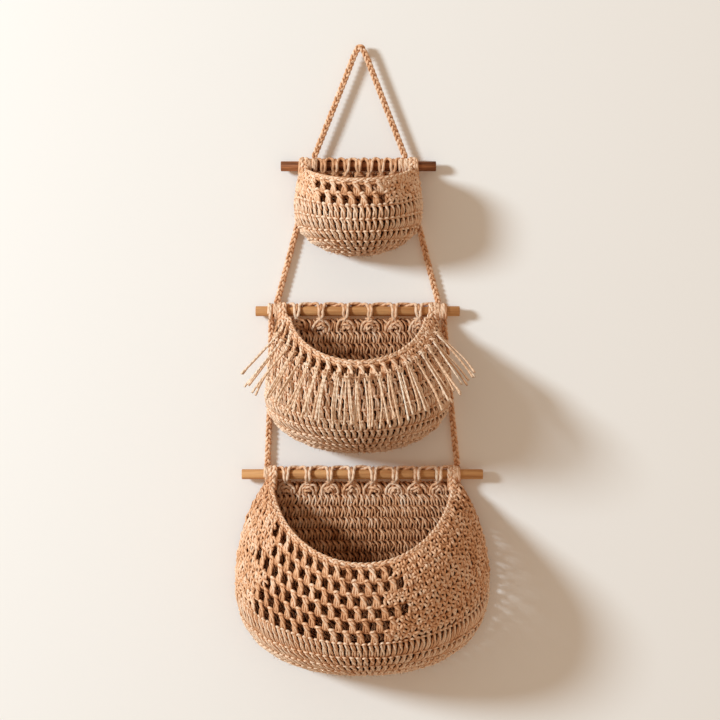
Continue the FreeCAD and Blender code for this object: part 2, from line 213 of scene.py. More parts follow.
def wood_material(name, dark, light):
    """Straight-grained wood, with the grain along the rod."""
    material, tree, shader = new_material(name)
    place = tree.nodes.new("ShaderNodeTexCoord")
    stretch = tree.nodes.new("ShaderNodeMapping")
    stretch.inputs["Scale"].default_value = (14, 200, 200)
    tree.links.new(place.outputs["Object"], stretch.inputs["Vector"])
    grain = add_node(tree, "ShaderNodeTexNoise", Scale=1.0, Detail=5.0, Roughness=0.6)
    tree.links.new(stretch.outputs[0], grain.inputs["Vector"])
    colour = ramp(tree, grain.outputs["Fac"], ((0.34, dark), (0.6, light)))
    tree.links.new(colour, shader.inputs["Base Color"])
    shader.inputs["Roughness"].default_value = 0.6
    shader.inputs["Specular IOR Level"].default_value = 0.15
    return material


# The darkest colour of each jute is painted shade, for yarn deep in the fabric and behind the rows
JUTE = jute_material(
    "jute",
    painted_shade_core=(0.045, 0.011, 0.003),
    dark=(0.40, 0.148, 0.054),
    middle=(0.80, 0.42, 0.212),
    light=(0.96, 0.69, 0.48),
)
JUTE_PALE = jute_material(
    "jute_pale",
    painted_shade_core=(0.2, 0.09, 0.04),
    dark=(0.62, 0.32, 0.165),
    middle=(0.87, 0.56, 0.345),
    light=(0.97, 0.77, 0.58),
)
WOOD_DARK = wood_material("wood_dark", (0.085, 0.022, 0.007), (0.38, 0.135, 0.047))
WOOD_TAN = wood_material("wood_tan", (0.42, 0.17, 0.055), (0.64, 0.325, 0.125))


# Strands of yarn

def spline(control, steps=STRAND_STEPS):
    """Smooth curves through control points, for many strands at once: (strands, points, 3)."""
    control = np.asarray(control, float)
    before = 2 * control[:, :1] - control[:, 1:2]
    after = 2 * control[:, -1:] - control[:, -2:-1]
    padded = np.concatenate((before, control, after), axis=1)
    a, b, c, d = padded[:, :-3], padded[:, 1:-2], padded[:, 2:-1], padded[:, 3:]
    pieces = []
    for step in range(steps):
        t = step / steps
        pieces.append(0.5 * (2 * b + (c - a) * t + (2 * a - 5 * b + 4 * c - d) * t ** 2
                             + (3 * b - a - 3 * c + d) * t ** 3))
    stacked = np.stack(pieces, axis=2).reshape(len(control), -1, 3)
    return np.concatenate((stacked, control[:, -1:]), axis=1)


def unit(vectors):
    """The same directions, one long."""
    return vectors / np.maximum(np.linalg.norm(vectors, axis=-1, keepdims=True), 1e-9)


def path_length(points):
    """Length of a line through points."""
    return float(np.sum(np.linalg.norm(np.diff(points, axis=0), axis=1)))


class Skein:
    """Collects strands and makes one mesh of them."""

    def __init__(self, sides=STRAND_SIDES):
        self.sides = sides
        self.points = []
        self.quads = []
        self.caps = []
        self.places = []
        self.tones = []
        self.count = 0

    def add(self, paths, radius=YARN, tone=FACE_TONE, away=None):
        """Tubes round the paths, an array of (strands, points, 3), with painted light on the side that points
        away.
        """
        paths = np.asarray(paths, float)
        if paths.ndim == 2:
            paths = paths[None]
        strands, length, _ = paths.shape
        along = unit(np.gradient(paths, axis=1))
        helper = np.where(np.abs(along[:, :1, 2:]) < 0.8, (0.0, 0.0, 1.0), (1.0, 0.0, 0.0))
        side = unit(np.cross(along[:, 0], helper[:, 0]))
        sideways = [side]
        for index in range(1, length):
            side = unit(side - along[:, index] * np.sum(side * along[:, index], axis=1, keepdims=True))
            sideways.append(side)
        sideways = np.stack(sideways, axis=1)
        upright = np.cross(along, sideways)
        angle = 2 * math.pi * np.arange(self.sides) / self.sides
        radius = np.broadcast_to(np.asarray(radius, float), (strands, length))
        ring = sideways[:, :, None] * np.cos(angle)[:, None] + upright[:, :, None] * np.sin(angle)[:, None]
        corners = paths[:, :, None] + ring * radius[:, :, None, None]
        start = self.count + np.arange(strands * length).reshape(strands, length)[:, :, None] * self.sides
        index = np.arange(self.sides)
        after = (index + 1) % self.sides
        low = start[:, :-1]
        high = start[:, 1:]
        quads = np.stack((low + index, low + after, high + after, high + index), axis=-1)
        self.points.append(corners.reshape(-1, 3))
        self.quads.append(quads.reshape(-1, 4))
        first = start[:, 0] + index[::-1]
        last = start[:, -1] + index
        self.caps.append(np.concatenate((first, last)).reshape(-1, self.sides))
        steps = np.linalg.norm(np.diff(paths, axis=1), axis=2)
        run = np.concatenate((np.zeros((strands, 1)), np.cumsum(steps, axis=1)), axis=1)
        self.places.append(np.repeat(run.reshape(-1) * MM, self.sides))
        tone = np.asarray(tone, float)
        if tone.ndim < 2:
            tone = tone.reshape(-1, 1)
        tones = np.broadcast_to(tone[:, :, None], (strands, length, self.sides))
        # Painted light and shade: the side of a strand that points away is lighter, the other side darker
        if away is not None:
            away = np.broadcast_to(np.asarray(away, float), paths.shape)
            tones = tones + PAINTED_SHADE_RISE * radius[:, :, None] * np.sum(ring * away[:, :, None], axis=3)
        self.tones.append(tones.reshape(-1))
        self.count += strands * length * self.sides

    def finish(self, name, material, slot, body, nodes):
        """The mesh object, riding on its body in place of the named nodes."""
        points = np.concatenate(self.points) * MM
        quads = np.concatenate(self.quads)
        caps = np.concatenate(self.caps)
        mesh = bpy.data.meshes.new(name)
        mesh.vertices.add(len(points))
        mesh.vertices.foreach_set("co", points.ravel())
        corners = np.concatenate((quads.ravel(), caps.ravel()))
        mesh.loops.add(len(corners))
        mesh.loops.foreach_set("vertex_index", corners)
        starts = np.concatenate((np.arange(len(quads)) * 4, quads.size + np.arange(len(caps)) * self.sides))
        mesh.polygons.add(len(starts))
        mesh.polygons.foreach_set("loop_start", starts)
        mesh.polygons.foreach_set("use_smooth", np.ones(len(starts), bool))
        run = np.concatenate(self.places)[corners]
        turn = (corners % self.sides) / self.sides
        wrapped = np.tile((False, True, True, False), len(quads))
        wrapped = np.concatenate((wrapped, np.zeros(caps.size, bool))) & (turn == 0)
        places = mesh.uv_layers.new(name="yarn")
        places.data.foreach_set("uv", np.stack((run, turn + wrapped), axis=1).ravel())
        tone = mesh.attributes.new("tone", "FLOAT", "POINT")
        tone.data.foreach_set("value", np.concatenate(self.tones))
        mesh.update(calc_edges=True)
        mesh.validate()
        mesh.materials.append(material)
        piece = bpy.data.objects.new(name, mesh)
        bpy.context.scene.collection.objects.link(piece)
        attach(piece, body)
        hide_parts(*nodes)
        return piece


# The pouch's surface

class Pouch:
    """A pouch's front as a surface, drawn in from the fabric's outside by inset.

    s runs from the left corner to the right one, and t from the mouth to the bottom.
    """

    def __init__(self, tier, inset=MID_FABRIC):
        self.tier = tier
        self.size = size = TIERS[tier]
        self.front = size["back"] - FABRIC
        self.origin = np.array((size["shift"], 0, size["rod_z"]))
        self.lowest_angle = math.asin(EDGE_DROP / (size["mouth_drop"] + RIM_HEIGHT))
        flare = size["half_width"] - size["corner"]
        radius = (flare ** 2 + size["widest"] ** 2) / (2 * flare)
        drop = np.linspace(EDGE_DROP, size["widest"], WALL_POINTS)
        width = size["half_width"] - radius + np.sqrt(radius ** 2 - (size["widest"] - drop) ** 2)
        depth = size["depth"] * np.sin(math.pi / 2 * np.minimum(1, drop / size["full_depth"]))
        angle = np.linspace(0, BOTTOM_END_ANGLE, WALL_POINTS)[1:]
        power = 2 / (size["fullness"] + ROUNDER[tier])
        share = np.sin(angle) ** power / math.sin(BOTTOM_END_ANGLE) ** power
        narrow = np.cos(angle) ** power
        low = size["widest"] + (size["bottom"] - size["widest"] - inset - STITCH_ROOM[tier]) * share
        low_width = size["half_width"] * narrow - inset
        low_depth = size["depth"] * narrow - inset
        centre = np.linspace(1, CENTRE_SHARE, CENTRE_STEPS + 1)[1:]
        self.drop = np.concatenate((drop, low, np.full(CENTRE_STEPS, low[-1])))
        self.width = np.concatenate((width - inset, low_width, low_width[-1] * centre))
        self.depth = np.concatenate((depth - inset, low_depth, low_depth[-1] * centre))
        self.walls = len(self.drop) - CENTRE_STEPS
        steps = np.hypot(np.diff(self.drop), np.diff(self.width))
        self.arc = np.concatenate(((0,), np.cumsum(steps)))
        angle, arc = self.mouth(np.linspace(0, 1, ROW_POINTS), RIM_HEIGHT)
        edge = self.at(angle, arc)
        corner = np.linalg.norm(edge[0] - self.at(math.pi, arc[0]))
        self.corner_share = max(1e-3, corner / (2 * corner + path_length(edge)))

    def arc_at(self, drop):
        """Length down the side to a drop below the rod."""
        return np.interp(drop, self.drop[:self.walls], self.arc[:self.walls])

    def half_width_at(self, drop):
        """Half width of the surface at a drop below the rod."""
        return np.interp(drop, self.drop[:self.walls], self.width[:self.walls])

    def mouth(self, s, grow):
        """Angle round the pouch and arc length of the mouth's edge, grown by some millimetres."""
        turn = math.pi - self.lowest_angle - (math.pi - 2 * self.lowest_angle) * s
        drop = np.maximum(EDGE_DROP, (self.size["mouth_drop"] + grow) * np.sin(turn))
        arc = self.arc_at(drop)
        across = (self.size["mouth_width"] + grow) * np.cos(turn)
        return np.arccos(np.clip(across / np.interp(arc, self.arc, self.width), -1, 1)), arc

    def at(self, angle, arc):
        """The point at an angle round the pouch and a length down its side."""
        drop = np.interp(arc, self.arc, self.drop)
        x = np.interp(arc, self.arc, self.width) * np.cos(angle)
        y = self.front - np.interp(arc, self.arc, self.depth) * np.sin(angle)
        return np.stack((x, y, -drop), axis=-1) + self.origin

    def outward(self, angle, arc):
        """The direction square to the fabric, away from the basket's inside."""
        around = self.at(angle + ANGLE_STEP, arc) - self.at(angle - ANGLE_STEP, arc)
        down = self.at(angle, arc + ARC_STEP) - self.at(angle, arc - ARC_STEP)
        return unit(np.cross(around, down))

    def edge(self, s):
        """The same as mouth for the fabric's upper edge, which runs on from the mouth's ends to the panel."""
        share = self.corner_share
        angle, arc = self.mouth(np.clip((s - share) / (1 - 2 * share), 0, 1), RIM_HEIGHT)
        left = np.clip(1 - s / share, 0, 1)
        right = np.clip(1 - (1 - s) / share, 0, 1)
        return angle + (math.pi - angle) * left - angle * right, arc

    def ways(self, s, t):
        """Angle and arc length at s and t: the lines of equal s follow the mouth first and fan out below."""
        s = np.clip(s, 0, 1)
        angle, arc = self.edge(s)
        turned = angle + (math.pi * (1 - s) - angle) * np.clip(2 * t, 0, 1)
        return turned, arc + (self.arc[-1] - arc) * t

    def place(self, s, t, out):
        """Points out from the surface by some millimetres."""
        s, t, out = np.broadcast_arrays(np.asarray(s, float), np.asarray(t, float), np.asarray(out, float))
        angle, arc = self.ways(s, t)
        return self.at(angle, arc) + self.outward(angle, arc) * out[..., None]

    def row_length(self, t):
        """Length of the row at t, from corner to corner."""
        return path_length(self.place(np.linspace(0, 1, ROW_POINTS), t, 0))


# Stitches: each strand is a list of (u along the row to the right, v up the row, n out of the fabric in mm)

MESH = (
    ((0.06, 0.98, 0.4), (0.18, 0.84, 2.4), (0.34, 0.66, 3.0),
     (0.50, 0.46, 2.6), (0.54, 0.16, 2.0), (0.54, -0.20, -0.6)),
    ((0.22, 1.02, 0.2), (0.34, 0.90, 1.8), (0.46, 0.74, 2.0), (0.56, 0.58, 0.6)),
    ((0.36, 0.68, 0.2), (0.37, 0.44, 1.8), (0.37, 0.15, 2.1), (0.35, -0.20, -0.6)),
    ((0.24, 0.72, -0.4), (0.21, 0.44, 1.2), (0.20, 0.15, 1.5), (0.18, -0.20, -0.8)),
    ((0.00, 0.90, 0.2), (0.08, 1.03, 2.4), (0.26, 1.08, 3.0), (0.48, 1.00, 0.6)),
    ((0.40, 1.00, -0.2), (0.62, 0.96, 0.8), (0.86, 0.96, 0.8), (1.06, 0.99, -0.2)),
    ((0.42, 0.90, -1.2), (0.72, 0.87, -0.8), (1.05, 0.90, -1.2)),
)
TALL = (
    ((-0.04, 0.92, 0.4), (0.12, 0.81, 2.5), (0.36, 0.62, 3.2),
     (0.54, 0.44, 2.6), (0.57, 0.18, 2.0), (0.55, -0.14, -0.4)),
    ((0.26, 0.92, 0.0), (0.42, 0.78, 1.2), (0.56, 0.60, 1.4), (0.68, 0.42, -0.6)),
    ((0.26, 0.70, 0.0), (0.19, 0.48, 1.8), (0.16, 0.18, 1.9), (0.14, -0.14, -0.4)),
    ((-0.22, 0.82, 0.0), (-0.06, 0.97, 2.4), (0.22, 0.99, 3.1), (0.52, 0.90, 0.6)),
)
SHORT = (
    ((0.04, 1.02, 0.0), (0.20, 0.66, 2.4), (0.42, 0.28, 2.2), (0.52, -0.12, -0.6)),
    ((0.96, 1.02, 0.0), (0.80, 0.66, 1.9), (0.62, 0.28, 1.6), (0.52, -0.12, -0.8)),
    ((-0.10, 0.98, 0.0), (0.22, 1.08, 1.8), (0.60, 0.98, 2.2), (0.92, 0.80, 0.2)),
)
PANEL = (
    ((-0.10, 1.06, 0.0), (0.18, 0.92, 1.6), (0.50, 0.70, 2.2),
     (0.66, 0.40, 1.6), (0.62, 0.05, 0.2), (0.58, -0.10, -0.8)),
    ((0.32, 0.98, -0.6), (0.62, 0.80, 1.0), (0.90, 0.58, 1.0), (1.05, 0.38, -0.8)),
    ((0.22, 0.80, -0.4), (0.18, 0.50, 1.2), (0.12, 0.20, 1.2), (0.08, -0.10, -0.8)),
)
PANEL_REAR = (
    ((0.05, 1.04, -0.4), (0.22, 0.72, -2.2), (0.34, 0.34, -2.2), (0.30, -0.06, -0.4)),
    ((0.55, 1.04, -0.4), (0.72, 0.72, -1.8), (0.84, 0.34, -1.8), (0.80, -0.06, -0.4)),
    ((-0.05, 0.06, -0.6), (0.30, 0.14, -2.4), (0.70, 0.10, -2.4), (1.05, -0.02, -0.6)),
)

# How far a stitch may stand past the seam and how soon it lies flat there, in shares of a stitch,
# and where along the row the yarn behind it starts and ends
SEAM_OVERLAP = 0.2
SEAM_EASE = 0.6
CORE_ENDS = (0.002, 0.998)

# How far strands stray in millimetres: in most rows, in the dense stitches, in the panel, behind the rows
WANDER = 0.3
DENSE_WANDER = 0.7
PANEL_WANDER = 0.45
CORE_WANDER = 0.25

# Rows of each pouch from the mouth down: stitches, height and stitch pitch in mm. The filler repeats from
# there to the bottom's centre.
ROWS = {
    "top": [(MESH, 13.5, 17.0)] * 2 + [(TALL, 16.0, 8.8)] * 3,
    "middle": [(MESH, 14.5, 18.0), (SHORT, 8.0, 9.0)] + [(TALL, 15.0, 9.2)] * 4,
    "bottom": [(MESH, 15.4, 21.0)] * 6 + [(TALL, 25.0, 8.4)],
}
FILLER = {"top": (TALL, 16.0, 8.8), "middle": (TALL, 16.0, 8.8), "bottom": (TALL, 21.0, 8.8)}
LEAST_COLUMNS = 5

# Shift of each row along the one above, as a share of a stitch
STAGGER = 0.6

# Part of each mesh row that is open, from left to right, and how its ends stray from row to row.
# The rest is dense: two rows of short stitches, twice as many, for each row of the mesh.
OPENED = {"top": (0.24, 0.62), "middle": (-0.1, 0.72), "bottom": (0.155, 0.60)}
OPEN_SWAY = 0.04
SWAY_TURN = 2.4

# All mesh rows have the stitches that fit at this share of the way down them
MESH_COUNTED_AT = 0.6

# Levels of the yarn behind each dense and each close row, as shares of its height, and its depth in mm
DENSE_LEVELS = (0.1, 0.4, 0.7, 1.0)
CORE_LEVELS = {
    "top": (0.12, 0.38, 0.64, 0.9),
    "middle": (0.08, 0.25, 0.42, 0.58, 0.75, 0.92),
    "bottom": (0.12, 0.38, 0.64, 0.9),
}
CORE_OUT = -2.4


def lay_row(skein, place, stitches, columns, base, step, offset=0.0, chosen=None, radius=YARN,
            wander=WANDER, tone=MIDDLE_TONE, facing=1):
    """One row: each strand of each stitch is placed by place(s, t, n), where its stitch is chosen."""
    column = np.arange(-1, columns + 1) + offset
    shade = chance.normal(tone, TONE_SPREAD, len(column))[:, None]
    overlap = SEAM_OVERLAP / columns
    for strand in stitches:
        control = np.asarray(strand, float)
        s = (column[:, None] + control[:, 0]) / columns
        middle = np.mean(s, axis=1)
        kept = (middle > -overlap) & (middle < 1 + overlap)
        if chosen is not None:
            kept = kept & chosen(middle)
        if not np.any(kept):
            continue
        s = np.clip(s[kept], 0, 1)
        t = base - step * control[:, 1]
        seam = np.clip(np.minimum(s, 1 - s) * columns / SEAM_EASE, 0, 1)
        out = control[:, 2] * seam
        points = place(s, t, out)
        away = place(s, t, out + 1) - points
        points = points + chance.normal(0, wander, points.shape)
        # Painted shade: yarn deep in the fabric is darker and yarn that stands out is lighter, the other way
        # round for the rear
        depth = spline(np.repeat(out[:, :, None], 3, axis=2))[:, :, 0]
        tones = shade[kept] + PAINTED_SHADE_RISE * depth * facing
        skein.add(spline(points), radius, tones, unit(spline(away)) * facing)


def lay_lines(skein, place, columns, base, step, levels, out=CORE_OUT, radius=CORE_YARN, ends=CORE_ENDS):
    """Yarn carried along deep behind a row, which closes its gaps, near-black as painted shade."""
    s = np.linspace(*ends, columns + 1)
    for level in levels:
        t = np.full(len(s), base - step * level)
        points = place(s, t, np.full(len(s), out))
        inward = points - place(s, t, np.full(len(s), out + 1))
        points = points + chance.normal(0, CORE_WANDER, points.shape)
        skein.add(spline(points[None]), radius, CORE_PAINTED_SHADE_TONE, unit(spline(inward[None])))


def lay_mesh_row(skein, pouch, number, columns, base, step, offset):
    """A row of open mesh between two stretches of dense stitches."""
    tier = pouch.tier
    sway = OPEN_SWAY * math.sin(SWAY_TURN * number)
    first, last = (end + sway for end in OPENED[tier])

    def within(middle):
        return (middle >= first) & (middle <= last)

    def beside(middle):
        return ~within(middle)

    lay_row(skein, pouch.place, MESH, columns, base, step, offset, within, MESH_YARN, tone=MESH_TONE[tier])
    for share in (0.5, 1.0):
        lay_row(skein, pouch.place, SHORT, 2 * columns, base - step + step * share, step / 2, offset + share,
                beside, DENSE_YARN, DENSE_WANDER, DENSE_TONE[tier])
    lay_lines(skein, pouch.place, columns, base, step, DENSE_LEVELS, ends=(last, CORE_ENDS[1]))
    if first > CORE_ENDS[0]:
        lay_lines(skein, pouch.place, columns, base, step, DENSE_LEVELS, ends=(CORE_ENDS[0], first))


def weave_front(pouch):
    """The rows of a pouch's front, from the mouth down to the bottom's centre."""
    tier = pouch.tier
    rows = ROWS[tier]
    filler, filler_tall, filler_pitch = FILLER[tier]
    upper = Skein()
    lower = Skein(COARSE_SIDES)
    depth = pouch.arc[-1] - pouch.mouth(np.array(0.5), RIM_HEIGHT)[1]
    open_depth = sum(row[1] for row in rows if row[0] is MESH)
    left = depth - sum(row[1] for row in rows)
    count = round(left / filler_tall)
    rest = [(filler, left / count, filler_pitch)] * count
    t = 0.0
    for number, (stitches, tall, pitch) in enumerate(rows + rest):
        step = tall / depth
        level = open_depth / depth * MESH_COUNTED_AT if stitches is MESH else min(1.0, t + step / 2)
        columns = max(LEAST_COLUMNS, round(pouch.row_length(level) / pitch))
        offset = (STAGGER * number) % 1.0 - 0.5
        skein = upper if number < len(rows) else lower
        if stitches is MESH:
            lay_mesh_row(skein, pouch, number, columns, t + step, step, offset)
        else:
            lay_row(skein, pouch.place, stitches, columns, t + step, step, offset, None, CLOSE_YARN,
                    tone=CLOSE_TONE[tier])
            lay_lines(skein, pouch.place, columns, t + step, step, CORE_LEVELS[tier])
        t += step
    name = f"{tier}_pouch"
    upper.finish(name, JUTE, "jute", f"{tier}_basket", [name])
    lower.finish(f"{name}_base", JUTE, "jute", f"{tier}_basket", [name])


def add_fibres(pouch, count):
    """Fine stray fibres that stand off the fabric."""
    skein = Skein(FIBRE_SIDES)
    s = chance.uniform(0.02, 0.98, count)
    t = chance.uniform(-0.02, 0.95, count)
    roots = pouch.place(s, t, 1.0)
    away = unit(pouch.place(s, t, 2.0) - roots)
    drift = chance.normal(0, 1, roots.shape)
    length = chance.uniform(*FIBRE_LENGTH, count)[:, None]
    middles = roots + (0.55 * away + 0.3 * drift) * length * 0.5
    tips = roots + (0.6 * away + 0.7 * drift) * length
    reach = np.linalg.norm(tips - roots, axis=1, keepdims=True)
    tips = roots + (tips - roots) * np.minimum(1, FIBRE_LENGTH[1] / reach)
    skein.add(spline(np.stack((roots, middles, tips), axis=1)), FIBRE, chance.normal(0.6, 0.08, count))
    name = f"{pouch.tier}_pouch"
    skein.finish(f"{name}_fibres", JUTE, "jute", f"{pouch.tier}_basket", [name])


def panel_place(pouch):
    """Places points on the back panel: s across it, drop and out in mm below the rod and towards the room."""
    size = pouch.size

    def place(s, drop, out):
        s, drop, out = np.broadcast_arrays(s, np.asarray(drop, float), np.asarray(out, float))
        x = pouch.half_width_at(drop) * (2 * s - 1) + size["shift"]
        y = size["back"] - MID_FABRIC - out
        return np.stack((x, y, size["rod_z"] - drop), axis=-1)

    return place


# Height of the panel's rows, their stitch pitch, and how far above the bottom the last one ends, in mm
PANEL_ROW = 15.0
PANEL_PITCH = 7.6
PANEL_FOOT = 4.0

# Levels, depth and radius of the yarn inside the panel
PANEL_LEVELS = (0.1, 0.35, 0.6, 0.85)
PANEL_CORE_OUT = -1.0
PANEL_CORE_YARN = 2.0

# Painted shade: how much darker the panel's yarn is below the mouth, and in its first row
PANEL_SHADE = 0.2
EDGE_SHADE = {"top": 0.24, "middle": 0.12, "bottom": 0.12}

# Tone of the loops over the rod, and of the arches under them; the top basket's are darker as painted shade
LOOP_TONE_AND_SHADE = {"top": 0.36, "middle": 0.47, "bottom": 0.50}
ARCH_TONE_AND_SHADE = {"top": 0.2, "middle": 0.42, "bottom": 0.44}

# Length in mm of a full turn of the braids along the seam, the mouth's edging, the corners and the cords
SEAM_BRAID = 18.0
RIM_BRAID = 24.0
CORNER_BRAID = 17.0
CORD_BRAID = 19.0

# Tones of the three strands of those braids, apart from the seam's, which have one tone
RIM_TONES = (0.48, 0.54, 0.60)
CORNER_TONES = (0.40, 0.47, 0.54)
CORD_TONES = (0.34, 0.44, 0.52)


def weave_panel(pouch):
    """The back panel: close rows of tall stitches, the reverse of such rows behind, and a seam round them."""
    tier = pouch.tier
    place = panel_place(pouch)
    skein = Skein(COARSE_SIDES)
    rear = Skein(COARSE_SIDES)
    tall = pouch.size["bottom"] - PANEL_FOOT - EDGE_DROP
    mouth = pouch.size["mouth_drop"]
    rows = round(tall / PANEL_ROW)
    step = tall / rows
    for number in range(rows):
        base = EDGE_DROP + step * (number + 1)
        columns = max(LEAST_COLUMNS, round(2 * pouch.half_width_at(base - step / 2) / PANEL_PITCH))
        # Painted shade on the panel, below the mouth and in its first row
        shade = PANEL_SHADE * np.interp(base, (0.4 * mouth, mouth + step), (0, 1))
        tone = MIDDLE_TONE - max(shade, EDGE_SHADE[tier] if number == 0 else 0)
        offset = 0.5 * (number % 2)
        lay_row(skein, place, PANEL, columns, base, step, offset, wander=PANEL_WANDER, tone=tone)
        lay_row(rear, place, PANEL_REAR, columns, base, step, offset, facing=-1)
        lay_lines(rear, place, columns, base, step, PANEL_LEVELS, PANEL_CORE_OUT, PANEL_CORE_YARN)
    outline = np.stack((pouch.width, np.full(len(pouch.width), pouch.front), -pouch.drop), axis=-1)
    seam = np.concatenate((outline * (-1, 1, 1), outline[::-1])) + pouch.origin
    across = np.tile((0.0, 1.0, 0.0), (len(seam), 1))
    rear.add(braid(seam, across, SEAM_BRAID, swing=1.6, dip=0.8), radius=1.6, tone=0.42)
    name = f"{tier}_back_panel"
    skein.finish(name, JUTE, "jute", f"{tier}_basket", [name])
    rear.finish(f"{name}_rear", JUTE, "jute", f"{tier}_basket", [name])


def braid(path, across, period, swing, dip):
    """Three braided strands along a path of close points; across is a sideways direction at each point."""
    path = np.asarray(path, float)
    along = unit(np.gradient(path, axis=0))
    across = unit(across - along * np.sum(across * along, axis=1, keepdims=True))
    other = np.cross(along, across)
    run = np.concatenate(((0,), np.cumsum(np.linalg.norm(np.diff(path, axis=0), axis=1))))
    strands = []
    for third in range(3):
        phase = 2 * math.pi * (run / period + third / 3)
        aside = across * (swing * np.sin(phase))[:, None]
        strands.append(path + aside + other * (dip * np.sin(2 * phase))[:, None])
    return np.array(strands)


# Swing of the edging's braid to each side and radius of its yarn in mm, and points along it
RIM_SWING = {"top": 1.2, "middle": 1.6, "bottom": 1.7}
RIM_YARN = {"top": 1.55, "middle": 1.75, "bottom": 1.8}
RIM_POINTS = 240


def mouth_edge(pouch):
    """The edging: a flat braid along the mouth's edge and on over the rod, with two strands under it."""
    tier = pouch.tier
    skein = Skein()
    s = np.linspace(0, 1, RIM_POINTS)
    low = pouch.at(*pouch.mouth(s, RIM_HEIGHT))
    high = pouch.at(*pouch.mouth(s, 0))
    middle = (low + high) / 2
    out = unit(np.cross(np.gradient(middle, axis=0), low - high))
    out = out * np.sign(np.sum(out * (0, -1, 0), axis=1, keepdims=True))
    for share in (0.25, 0.75):
        skein.add(low + (high - low) * share - out * 2.0, radius=1.9, tone=0.35)
    front = middle + out * 0.8
    z = pouch.size["rod_z"]
    ends = []
    for side, end in ((-1, front[0]), (1, front[-1])):
        x = wrap_x(tier, side, 0) - side * 3.0
        over = np.array((
            (x, -2.0, z + 9.2),
            (x, -7.0, z + 6.6),
            (x, -9.8, z - 1.0),
            (end + (x, -9.6, z - 8.0)) / 2,
            end,
        ))
        ends.append(spline(over[None], steps=6)[0][:-1])
    path = np.concatenate((ends[0], front, ends[1][::-1]))
    across = np.concatenate((
        np.tile((1.0, 0.0, 0.0), (len(ends[0]), 1)),
        high - low,
        np.tile((-1.0, 0.0, 0.0), (len(ends[1]), 1)),
    ))
    strands = braid(path, across, RIM_BRAID, RIM_SWING[tier], dip=1.1)
    wandering = strands + chance.normal(0, 0.08, strands.shape)
    skein.add(wandering, RIM_YARN[tier], np.array(RIM_TONES), unit(strands - path))
    return skein


def around_rod(x, z, radius, turns, start, advance, points):
    """A coil of yarn round a rod from the angle start, moving along by advance; points is for each turn."""
    angle = start + np.linspace(0, 2 * math.pi * turns, max(4, round(points * turns)))
    along = x + advance * np.linspace(-0.5, 0.5, len(angle))
    return np.stack((along, -radius * np.sin(angle), z + radius * np.cos(angle)), axis=-1)


def from_rod(points, z):
    """The directions from a rod's axis to points."""
    return unit((points - (0, 0, z)) * (0, 1, 1))


def wrap_x(tier, side, place):
    """Centre of a wrap: place 0 is the basket's corner, 1 is next outwards, -1 next inwards."""
    reach = TIERS[tier]["corner"] + (place - 0.5) * WRAP_WIDTH + place * (WRAP_STEP - WRAP_WIDTH)
    return TIERS[tier]["shift"] + side * reach


def wrap_coil(skein, tier, side, place, tail_up, tail_y, lean=0.0):
    """A cord's end: slanting turns round the rod and a tail into the cord."""
    x = wrap_x(tier, side, place)
    z = TIERS[tier]["rod_z"]
    for shift, start in ((-1.4, 0.4), (1.2, 2.6)):
        coil = around_rod(x + shift, z, ROD_RADIUS + 2.0, 1.25, start, advance=2.4 * side, points=18)
        swell = 1 + 0.06 * np.sin(np.linspace(0, 9, len(coil)))[:, None]
        coil[:, 1:] = (coil[:, 1:] - (0, z)) * swell + (0, z)
        coil = spline(coil[None], steps=2)
        skein.add(coil, radius=2.2, tone=chance.normal(0.46, 0.06), away=from_rod(coil, z))
    up = 1 if tail_up else -1
    for shift in (-1.8, 1.8):
        tail = np.array((
            (x + shift, tail_y * 0.4 - 3.0, z + up * 7.0),
            (x + shift * 0.9 + lean * 0.5, tail_y * 0.8, z + up * 9.0),
            (x - shift * 0.7 + lean, tail_y, z + up * 14.0),
        ))
        skein.add(spline(tail[None], steps=3), radius=1.85, tone=chance.normal(0.5, 0.1))


